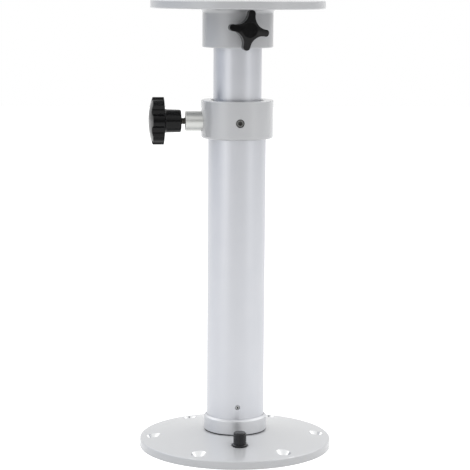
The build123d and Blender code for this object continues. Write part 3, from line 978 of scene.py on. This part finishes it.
tree, given, out = new_tree("thread_on_a_core", {**stud_thread, "Low": 0.0, "High": 20 * mm})
length = add(tree, "ShaderNodeMath", {0: given["High"], 1: given["Low"]}, operation="SUBTRACT")
turns = add(tree, "ShaderNodeMath", {0: length, 1: given["Pitch"]}, operation="DIVIDE")
root = add(tree, "ShaderNodeMath", {0: given["Radius"], 1: given["Depth"]}, operation="SUBTRACT")
spiral = add(
    tree,
    "GeometryNodeCurveSpiral",
    {"Resolution": 32, "Rotations": turns, "Start Radius": root, "End Radius": root, "Height": length},
)
spiral = add(tree, "GeometryNodeSetCurveNormal", {0: spiral}, mode="Z_UP")
diamond = add(
    tree,
    "GeometryNodeCurvePrimitiveCircle",
    {"Resolution": 4, "Radius": given["Depth"]},
    mode="RADIUS",
)
ridge = add(
    tree, "GeometryNodeCurveToMesh", {"Curve": spiral, "Profile Curve": diamond, "Fill Caps": True}
)
lift = add(tree, "ShaderNodeCombineXYZ", {"Z": given["Low"]})
ridge = add(tree, "GeometryNodeTransform", {"Geometry": ridge, "Translation": lift})
whole = add(tree, "GeometryNodeJoinGeometry")
tree.links.new(given["Geometry"], whole.inputs[0])
tree.links.new(ridge.outputs[0], whole.inputs[0])
thread_tree = end_tree(tree, given, out, whole)

# %% Set screws


def set_screw(name, radius, low, high, socket, socket_depth, pitch):
    """A set screw along Z with its hexagon socket at the high end."""
    depth = 0.6 * pitch
    root = radius - depth
    core = turned(
        name,
        section((0, low), (root, low, 0.3 * root), (root, high), (0, high)),
        segments=40,
    )
    past = high + 1 * mm
    drilled = high - 1.2 * socket_depth
    hexagon = turned(
        "socket",
        section((0, drilled), (socket, high - socket_depth), (socket, past), (0, past)),
        segments=6,
    )
    cut(core, hexagon)
    sizes = {"Radius": radius, "Pitch": pitch, "Depth": depth}
    return grown(core, thread_tree, None, **sizes, Low=low + depth, High=high - depth)


def screw_set(name, node, finish, radius, low, high, socket, socket_depth, pitch, height):
    """Three set screws round the column, whose sockets get a darker finish as painted shade."""
    screws = set_screw(name, radius, low, high, socket, socket_depth, pitch)
    placed(screws, outward(0, height))
    grown(screws, copies_tree, finish, Count=3, Start=-pi / 2)
    hand_over(screws, finish, "column", "black_steel", node)

    # The faces inside each hexagon socket get the dark finish: painted shade in the hole.
    def in_a_socket(centre, normal):
        outwards, aside = from_nearest_copy(centre, 3, -pi / 2)
        return Vector((aside, centre.z - height)).length < socket and outwards < high - 0.05 * mm

    bare_or_shade(screws, socket_shade_finish, in_a_socket)


thread_room = 0.1 * mm
screw_set(
    "foot_set_screw",
    "foot_set_screws",
    bright_finish,
    radius=foot_screw_radius - thread_room,
    low=27 * mm,
    high=34.6 * mm,
    socket=1.4 * mm,
    socket_depth=4.5 * mm,
    pitch=0.8 * mm,
    height=foot_screw_height,
)
collar_screw_radius = 5 * mm
screw_set(
    "collar_set_screw",
    "collar_set_screws",
    oxide_finish,
    radius=collar_screw_radius - thread_room,
    low=tube_radius,
    high=collar_radius - 0.6 * mm,
    socket=2.9 * mm,
    socket_depth=4 * mm,
    pitch=1.5 * mm,
    height=clamp_height,
)

# %% [markdown]
# ## The collar and its guide bush
#
# The collar is a thick coated ring with a round lower edge. Its mouth shows the black guide
# bush as a thin dark ring round the inner tube. The clamp's boss sits in a spot face on its
# side, which leaves the fine dark seam that the photograph shows there.

# %% Collar
collar_lip = collar_high.z - tube_high.z
collar_bore = tube_radius + 0.05 * mm
in_the_bore = 30 * mm
past_the_boss = 60 * mm
collar = turned(
    "collar_casting",
    section(
        (collar_bore, collar_low.z, 0.5 * mm),
        (collar_radius, collar_low.z, 3 * mm),
        (collar_radius, collar_high.z, 1.1 * mm),
        (tube_radius - tube_wall, collar_high.z, 0.9 * mm),
        (tube_radius - tube_wall, collar_high.z - collar_lip),
        (collar_bore, collar_high.z - collar_lip),
    ),
    segments=192,
)
collar_hole = collar_screw_radius + thread_room
cut(collar, side_holes("holes", collar_hole, in_the_bore, past_the_boss, clamp_height))
boss_radius = 12.1 * mm
boss_seat = collar_radius - 2.1 * mm
spigot_hole = 8 * mm
seat_radius = boss_radius + 0.35 * mm
seat = turned(
    "seat",
    section(
        (0, in_the_bore),
        (spigot_hole, in_the_bore),
        (spigot_hole, boss_seat),
        (seat_radius, boss_seat),
        (seat_radius, past_the_boss),
        (0, past_the_boss),
    ),
    segments=96,
)
cut(collar, placed(seat, outward(clamp_side, clamp_height)))
hand_over(collar, casting_finish, "column", "silver_coating", "collar")

# %% Guide bush
bush_low, bush_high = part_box("guide_bush")
sliding_gap = 0.06 * mm
bush_bore = inner_radius + sliding_gap
bush_edges = (0.4 * mm, 0.4 * mm, 0.6 * mm, 1.2 * mm)
bush = sleeve(
    "guide_bush_sleeve", bush_bore, bush_high.x, bush_low.z, bush_high.z, bush_edges, 160
)
cut(bush, pad_hole())
hand_over(bush, nylon_finish, "column", "nylon", "guide_bush")

# %% [markdown]
# ## The height clamp
#
# Three pieces in line along the axis of the clamp: a turned boss, a zinc-plated stud of which a
# few threads show, and the knob.

# %% Boss and stud
boss_low, boss_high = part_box("clamp_boss")
boss_reach = -boss_low.x
boss_spigot = spigot_hole - 0.05 * mm
boss_start = tube_radius + 0.1 * mm
stud_bore = 4.1 * mm
boss = turned(
    "clamp_boss_turned",
    section(
        (stud_bore, boss_start),
        (boss_spigot, boss_start),
        (boss_spigot, boss_seat),
        (boss_radius, boss_seat, 0.4 * mm),
        (boss_radius, boss_reach, 0.9 * mm),
        (stud_bore, boss_reach, 0.8 * mm),
    ),
    segments=96,
)
placed(boss, outward(clamp_side, clamp_height))
hand_over(boss, boss_finish, "column", "turned_aluminium", "clamp_boss")

nose_radius = 2 * mm
nose_length = 1.8 * mm


def stud(name, start, end, place):
    """A threaded stud with the nose that turns in its pressure pad."""
    depth = stud_thread["Depth"]
    root = stud_thread["Radius"] - depth
    core = turned(
        name,
        section(
            (0, start),
            (nose_radius, start, 0.3 * mm),
            (nose_radius, start + nose_length),
            (root, start + nose_length, 0.3 * mm),
            (root, end),
            (0, end),
        ),
        segments=48,
    )
    first = start + nose_length + depth
    grown(core, thread_tree, stud_finish, **stud_thread, Low=first, High=end - depth)
    return placed(core, place)


height_place = outward(clamp_side, clamp_height)
height_stud_low, height_stud_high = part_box("height_clamp_screw")
height_stud = stud("height_clamp_stud", -height_stud_high.x, -height_stud_low.x, height_place)
hand_over(height_stud, stud_finish, "height_clamp_knob", "steel", "height_clamp_screw")

# %% [markdown]
# The knob has seven lobes. A mould maker gets them by turning a domed blank and milling seven
# round scallops into its rim, so the shape follows one rule: no point of the blank may lie
# further out than the outline, which is the rim or a scallop's circle, whichever is nearer. A
# geometry tree applies that rule, with a soft minimum that also rounds the edges.

# %% A scallop tree
lobes = 7
first_lobe = -35
knob_rim = 28.75 * mm
scallops = {
    "Scallops": lobes,
    "Start": radians(first_lobe + 180 / lobes),
    "Rim": knob_rim,
    "Scallop radius": 8 * mm,
    "Scallop depth": 4.8 * mm,
    "Softness": 0.9 * mm,
}

tree, given, out = new_tree("scalloped_rim", scallops)
spot = add(tree, "GeometryNodeInputPosition")
axes = add(tree, "ShaderNodeSeparateXYZ", {0: spot}).outputs
flat_spot = add(tree, "ShaderNodeVectorMath", {0: spot, 1: (1, 1, 0)}, operation="MULTIPLY")
reach = add(tree, "ShaderNodeVectorMath", {0: flat_spot}, operation="LENGTH").outputs["Value"]
known = dict(given.items())
# Each step names its result, then the operation and its terms: values or earlier results.
for name, operation, *terms in (
    ("heading", "ARCTAN2", axes["Y"], axes["X"]),
    ("heading", "SUBTRACT", "heading", "Start"),
    ("half step", "DIVIDE", pi, "Scallops"),
    ("off", "PINGPONG", "heading", "half step"),
    ("bottom", "SUBTRACT", "Rim", "Scallop depth"),
    ("centre", "ADD", "bottom", "Scallop radius"),
    ("sine", "SINE", "off"),
    ("cosine", "COSINE", "off"),
    ("across", "MULTIPLY", "centre", "sine"),
    ("across", "MULTIPLY", "across", "across"),
    ("square", "MULTIPLY", "Scallop radius", "Scallop radius"),
    ("left", "SUBTRACT", "square", "across"),
    ("root", "MAXIMUM", "left", 0.0),
    ("root", "SQRT", "root"),
    ("near", "MULTIPLY", "centre", "cosine"),
    ("near", "SUBTRACT", "near", "root"),
):
    inputs = {index: known.get(term, term) for index, term in enumerate(terms)}
    known[name] = add(tree, "ShaderNodeMath", inputs, operation=operation)
missed = add(tree, "FunctionNodeCompare", {0: known["left"], 1: 0.0}, operation="LESS_THAN")
scallop = add(
    tree,
    "GeometryNodeSwitch",
    {"Switch": missed, "False": known["near"], "True": 1.0},
    input_type="FLOAT",
)
outline = add(
    tree,
    "ShaderNodeMath",
    {0: given["Rim"], 1: scallop, 2: given["Softness"]},
    operation="SMOOTH_MIN",
)
kept = add(
    tree, "ShaderNodeMath", {0: reach, 1: outline, 2: given["Softness"]}, operation="SMOOTH_MIN"
)
safe = add(tree, "ShaderNodeMath", {0: reach, 1: 1e-6}, operation="MAXIMUM")
scale = add(tree, "ShaderNodeMath", {0: kept, 1: safe}, operation="DIVIDE")
stretch = add(tree, "ShaderNodeCombineXYZ", {"X": scale, "Y": scale, "Z": 1.0})
moved = add(tree, "ShaderNodeVectorMath", {0: spot, 1: stretch}, operation="MULTIPLY")
shape = add(tree, "GeometryNodeSetPosition", {"Geometry": given["Geometry"], "Position": moved})
scallop_tree = end_tree(tree, given, out, shape)

# %% Height knob


def finer(points, step):
    """The same section with extra points, so that a rule can bend it smoothly."""
    finer_points = []
    for here, after in zip(points, points[1:] + points[:1]):
        parts = max(1, round((after - here).length / step))
        finer_points += [here.lerp(after, part / parts) for part in range(parts)]
    return finer_points


def dome(rim, front, crown, steps=14):
    """Corners of a shallow spherical cap, from its rim to just short of its apex."""
    ball = (rim**2 + crown**2) / (2 * crown)
    corners = []
    for step in range(1, steps):
        radius = rim * (1 - step / steps)
        corners.append((radius, front + crown - ball + sqrt(ball**2 - radius**2)))
    return corners


knob_low, knob_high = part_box("height_clamp_knob")
knob_start = -knob_high.x
knob_apex = -knob_low.x
knob_hub = 14.15 * mm
knob_back = knob_start + 19 * mm
knob_crown = 5.2 * mm
knob_front = knob_apex - knob_crown
knob_corners = section(
    (0, knob_start),
    (knob_hub - 0.4 * mm, knob_start, 2.2 * mm),
    (knob_hub, knob_back, 1.6 * mm),
    (knob_rim, knob_back + 1.8 * mm, 0.5 * mm),
    (knob_rim, knob_front, 0.3 * mm),
    *dome(knob_rim, knob_front, knob_crown),
    (0, knob_apex),
)
knob = turned("lobed_knob", finer(knob_corners, 0.9 * mm), segments=36 * lobes)
grown(knob, scallop_tree, knob_finish, **scallops)
placed(knob, height_place)
hand_over(knob, knob_finish, "height_clamp_knob", "black_plastic", "height_clamp_knob")

# %% [markdown]
# ## The foot's lock knob
#
# A thumb screw with a small cylindrical head. The photograph shows it speckled from top to
# bottom, which is a diamond knurl seen from two metres. Each diamond is a low pyramid, and a
# tree stands them in rows round the head, every other row half a step on. The diamonds are
# nearly three millimetres wide, coarser than real ones, so that they still show in the picture.

# %% A knurl tree
columns = 18
tooth = 0.4 * mm
lock_radius = 7.9 * mm
knurl = {"Columns": columns, "Radius": lock_radius - tooth, "Tooth": tooth}

tree, given, out = new_tree("diamond_knurl", {**knurl, "Rows": 5, "Low": 0.0, "High": 10 * mm})
known = dict(given.items())
known["number"] = add(tree, "GeometryNodeInputIndex")
# The steps are written as in the scallop tree; a tooth's number gives its row and its angle.
for name, operation, *terms in (
    ("count", "MULTIPLY", "Columns", "Rows"),
    ("row", "DIVIDE", "number", "Columns"),
    ("row", "FLOOR", "row"),
    ("odd", "MODULO", "row", 2.0),
    ("column", "MULTIPLY_ADD", "odd", 0.5, "number"),
    ("angle", "DIVIDE", "column", "Columns"),
    ("angle", "MULTIPLY", "angle", 2 * pi),
    ("cosine", "COSINE", "angle"),
    ("sine", "SINE", "angle"),
    ("X", "MULTIPLY", "cosine", "Radius"),
    ("Y", "MULTIPLY", "sine", "Radius"),
    ("span", "SUBTRACT", "High", "Low"),
    ("pitch", "DIVIDE", "span", "Rows"),
    ("level", "ADD", "row", 0.5),
    ("Z", "MULTIPLY_ADD", "level", "pitch", "Low"),
):
    inputs = {index: known.get(term, term) for index, term in enumerate(terms)}
    known[name] = add(tree, "ShaderNodeMath", inputs, operation=operation)
spots = add(tree, "GeometryNodePoints", {"Count": known["count"]})
spot = add(tree, "ShaderNodeCombineXYZ", {axis: known[axis] for axis in "XYZ"})
spots = add(tree, "GeometryNodeSetPosition", {"Geometry": spots, "Position": spot})
facing = add(tree, "ShaderNodeCombineXYZ", {"Y": pi / 2, "Z": known["angle"]})
pyramid = add(
    tree,
    "GeometryNodeMeshCone",
    {"Vertices": 4, "Radius Top": 0.0, "Radius Bottom": known["pitch"], "Depth": given["Tooth"]},
    fill_type="NONE",
)
teeth = add(
    tree, "GeometryNodeInstanceOnPoints", {"Points": spots, "Instance": pyramid, "Rotation": facing}
)
whole = add(tree, "GeometryNodeJoinGeometry")
tree.links.new(given["Geometry"], whole.inputs[0])
tree.links.new(teeth.outputs[0], whole.inputs[0])
knurl_tree = end_tree(tree, given, out, whole)

# %% Lock knob
lock_low, lock_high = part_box("lock_knob")
skirt_radius = (lock_high.x - lock_low.x) / 2
skirt_height = 2.4 * mm
lock_knob = turned(
    "knurled_lock_knob",
    section(
        (0, lock_low.z),
        (skirt_radius, lock_low.z, 0.3 * mm),
        (skirt_radius, lock_low.z + skirt_height - 0.9 * mm, 0.5 * mm),
        (lock_radius - tooth, lock_low.z + skirt_height),
        (lock_radius - tooth, lock_high.z - 1.2 * mm),
        (lock_radius - 1.3 * mm, lock_high.z, 0.3 * mm),
        (0, lock_high.z),
    ),
    segments=4 * columns,
)
knurl_low = lock_low.z + skirt_height + 0.2 * mm
knurl_high = lock_high.z - 1.3 * mm
rows = round((knurl_high - knurl_low) / (pi * lock_radius / columns))
grown(lock_knob, knurl_tree, knurl_finish, **knurl, Rows=rows, Low=knurl_low, High=knurl_high)
placed(lock_knob, Matrix.Translation((lock_middle.x, lock_middle.y, 0)))
hand_over(lock_knob, knurl_finish, "lock_knob", "black_plastic", "lock_knob")

# %% [markdown]
# ## The inner tube and the top
#
# The inner tube is the same drawn tube, a size smaller. The top is one casting: a plate for the
# table and a hub that grows out of it with a soft cove.

# %% Inner tube
inner = drawn_tube("inner_tube_drawn", inner_radius, inner_low.z, inner_high.z)
hand_over(inner, tube_finish, "inner_column", "anodised_aluminium", "inner_tube")

# %% Top casting
hub_radius = 42.6 * mm
plate_radius = 105 * mm
plate_thickness = 10 * mm
plate_bottom = top_high.z - plate_thickness
liner_low, liner_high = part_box("top_liner")
hub_bore = liner_high.x + sliding_gap
top = turned(
    "top_casting",
    section(
        (hub_bore, top_low.z, 0.5 * mm),
        (hub_radius, top_low.z, 1.2 * mm),
        (hub_radius, plate_bottom, 5.5 * mm),
        (plate_radius, plate_bottom, 1.5 * mm),
        (plate_radius, top_high.z, 1.5 * mm),
        (0, top_high.z),
        (0, plate_bottom),
        (hub_bore, plate_bottom),
    ),
    segments=192,
)
table_hole_circle = 90 * mm
table_hole_radius = 3.25 * mm
table_sink_radius = 6.3 * mm
table_holes = countersunk(
    "table_holes",
    table_hole_circle,
    table_hole_radius,
    table_sink_radius,
    top_high.z + 1 * mm,
    plate_bottom,
    -1,
)
grown(table_holes, copies_tree, None, Count=6, Start=top_side + pi / 2)
past_the_hub = 50 * mm
clamp_hole = rod("clamp_hole", stud_bore, in_the_bore, past_the_hub, 40)
top_place = outward(top_side, top_way.z)
cut(top, table_holes, placed(clamp_hole, top_place))
hand_over(top, casting_finish, "top_support", "silver_coating", "top_support")

# %% [markdown]
# ## The four-armed knob
#
# The same rule as the lobed knob, with another outline: each arm ends in a small circle, and a
# hollow arc joins one arm to the next. The outline is written as a distance for each direction,
# and the blank leans back from a flat in its middle, so that the arms slope away.

# %% Star knob
star_reach = 23.9 * mm
star_tip = 4.1 * mm
star_waist = 11.8 * mm
star_face = 9 * mm
star_slope = 3.6 * mm
star_thickness = 14 * mm
star_hub = 10 * mm
star_hub_length = 8.5 * mm
star_start = hub_radius + 2 * mm
star_turn = radians(-9.3)
star_soft = 1.3 * mm

arm = star_reach - star_tip
slim = star_waist - star_tip
hollow_centre = (arm**2 - slim**2) / (sqrt(2) * arm - 2 * slim)
hollow_radius = hollow_centre - star_waist
tip_share = star_tip * hollow_centre / sqrt(2)
tip_limit = atan2(tip_share, arm * hollow_radius + tip_share)


def star_outline(angle):
    """How far the star reaches in a direction."""
    from_arm = abs((angle + pi / 4) % (pi / 2) - pi / 4)
    if from_arm < tip_limit:
        return arm * cos(from_arm) + sqrt(max(0, star_tip**2 - (arm * sin(from_arm)) ** 2))
    from_hollow = pi / 4 - from_arm
    inside = hollow_radius**2 - (hollow_centre * sin(from_hollow)) ** 2
    return hollow_centre * cos(from_hollow) - sqrt(max(0, inside))


def soft_minimum(a, b, width):
    """The smaller of two values, blended where they are close."""
    close = max(width - abs(a - b), 0) / width
    return min(a, b) - close**3 * width / 6


star_back = star_start + star_hub_length
star_front = star_back + star_thickness
star = turned(
    "star_knob",
    finer(
        section(
            (0, star_start),
            (star_hub, star_start, 0.8 * mm),
            (star_hub, star_back, 0.8 * mm),
            (star_reach, star_back, 0.6 * mm),
            (star_reach, star_front - star_slope, 0.3 * mm),
            (star_face, star_front),
            (0, star_front),
        ),
        0.6 * mm,
    ),
    segments=288,
)
for vertex in star.data.vertices:
    x, y, z = vertex.co
    reach = sqrt(x * x + y * y)
    if reach > 0.5 * star_waist:
        kept = soft_minimum(reach, star_outline(atan2(y, x)), star_soft)
        vertex.co = (x * kept / reach, y * kept / reach, z)
star.data.transform(Matrix.Rotation(star_turn, 4, "Z"))
placed(star, top_place)
hand_over(star, knob_finish, "top_clamp_knob", "black_plastic", "top_clamp_knob")

pad_outside = 35.05 * mm
nose_gap = 0.05 * mm
stud_in_star = 14 * mm
top_stud_start = pad_outside + nose_gap - nose_length
top_stud = stud("top_clamp_stud", top_stud_start, star_start + stud_in_star, top_place)
hand_over(top_stud, stud_finish, "top_clamp_knob", "steel", "top_clamp_screw")

# %% [markdown]
# ## Pieces that stay as they come
#
# What is hidden inside, or shows only when the pedestal is taken apart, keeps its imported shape
# and gets its own finish.

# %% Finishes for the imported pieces
kept_pieces = {
    "key_pin": steel_finish,
    "lock_bar": steel_finish,
    "lock_cover": steel_finish,
    "lock_cover_screws": steel_finish,
    "lock_washer": nylon_finish,
    "lock_screw": steel_finish,
    "height_clamp_pad": brass_finish,
    "end_bush": nylon_finish,
    "top_liner": nylon_finish,
    "top_clamp_pad": brass_finish,
}
for name, finish in kept_pieces.items():
    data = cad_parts[name].data
    data.materials.clear()
    data.materials.append(finish)
print("kept as packed:", ", ".join(kept_pieces))
